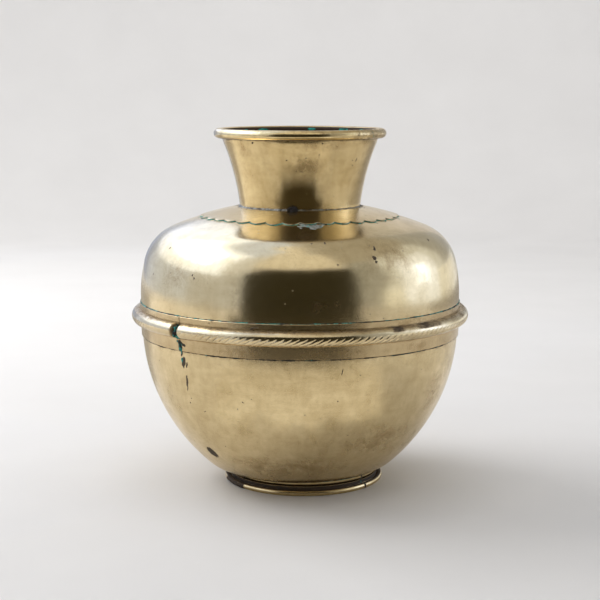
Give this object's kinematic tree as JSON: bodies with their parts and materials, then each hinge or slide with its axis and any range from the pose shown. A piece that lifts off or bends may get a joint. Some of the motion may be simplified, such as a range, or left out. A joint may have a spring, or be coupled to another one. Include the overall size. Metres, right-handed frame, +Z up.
{
  "type": "water pot",
  "caption": "Round-bodied brass water pot with a flared, wired lip, a scalloped neck flange, a banded waist with a half-round rope moulding, and a rolled foot ring.",
  "frame": {"origin": "the pot's axis, at the level of the floor; the foot's own axis stands 3.3 mm to its right", "axes": "+Z is up along the pot's axis, -Y is the front, +X is to the right of someone facing the front"},
  "size_m": [0.317, 0.3169, 0.3323],
  "materials": {
    "bowl_brass": "old hammered brass, tarnished darker low down",
    "shoulder_brass": "old hammered brass, polished by use",
    "band_brass": "old rolled brass strip with tarnished edges",
    "moulding_brass": "old brass with shallow slanting grooves, worn bright on the crest",
    "neck_brass": "old brass, polished outside and tarnished inside",
    "flange_brass": "old brass with green corrosion along the scallops",
    "foot_brass": "old brass, dark in the hollows, with green corrosion",
    "iron_wire": "dark rusted iron wire",
    "solder": "dull grey soft solder"
  },
  "bodies": {
    "root": {"lower_bowl": "bowl_brass", "shoulder_shell": "shoulder_brass", "waist_seam_solder": "solder", "waist_band": "band_brass", "rope_moulding": "moulding_brass", "joint_solder": "solder", "band_upper_solder": "solder", "band_lower_solder": "solder", "neck_collar": "neck_brass", "lip_wire": "iron_wire", "neck_flange": "flange_brass", "neck_solder": "solder", "solder_lump": "solder", "shoulder_patch": "solder", "foot_ring": "foot_brass", "foot_wire": "iron_wire", "foot_solder": "solder"}
  },
  "joints": []
}
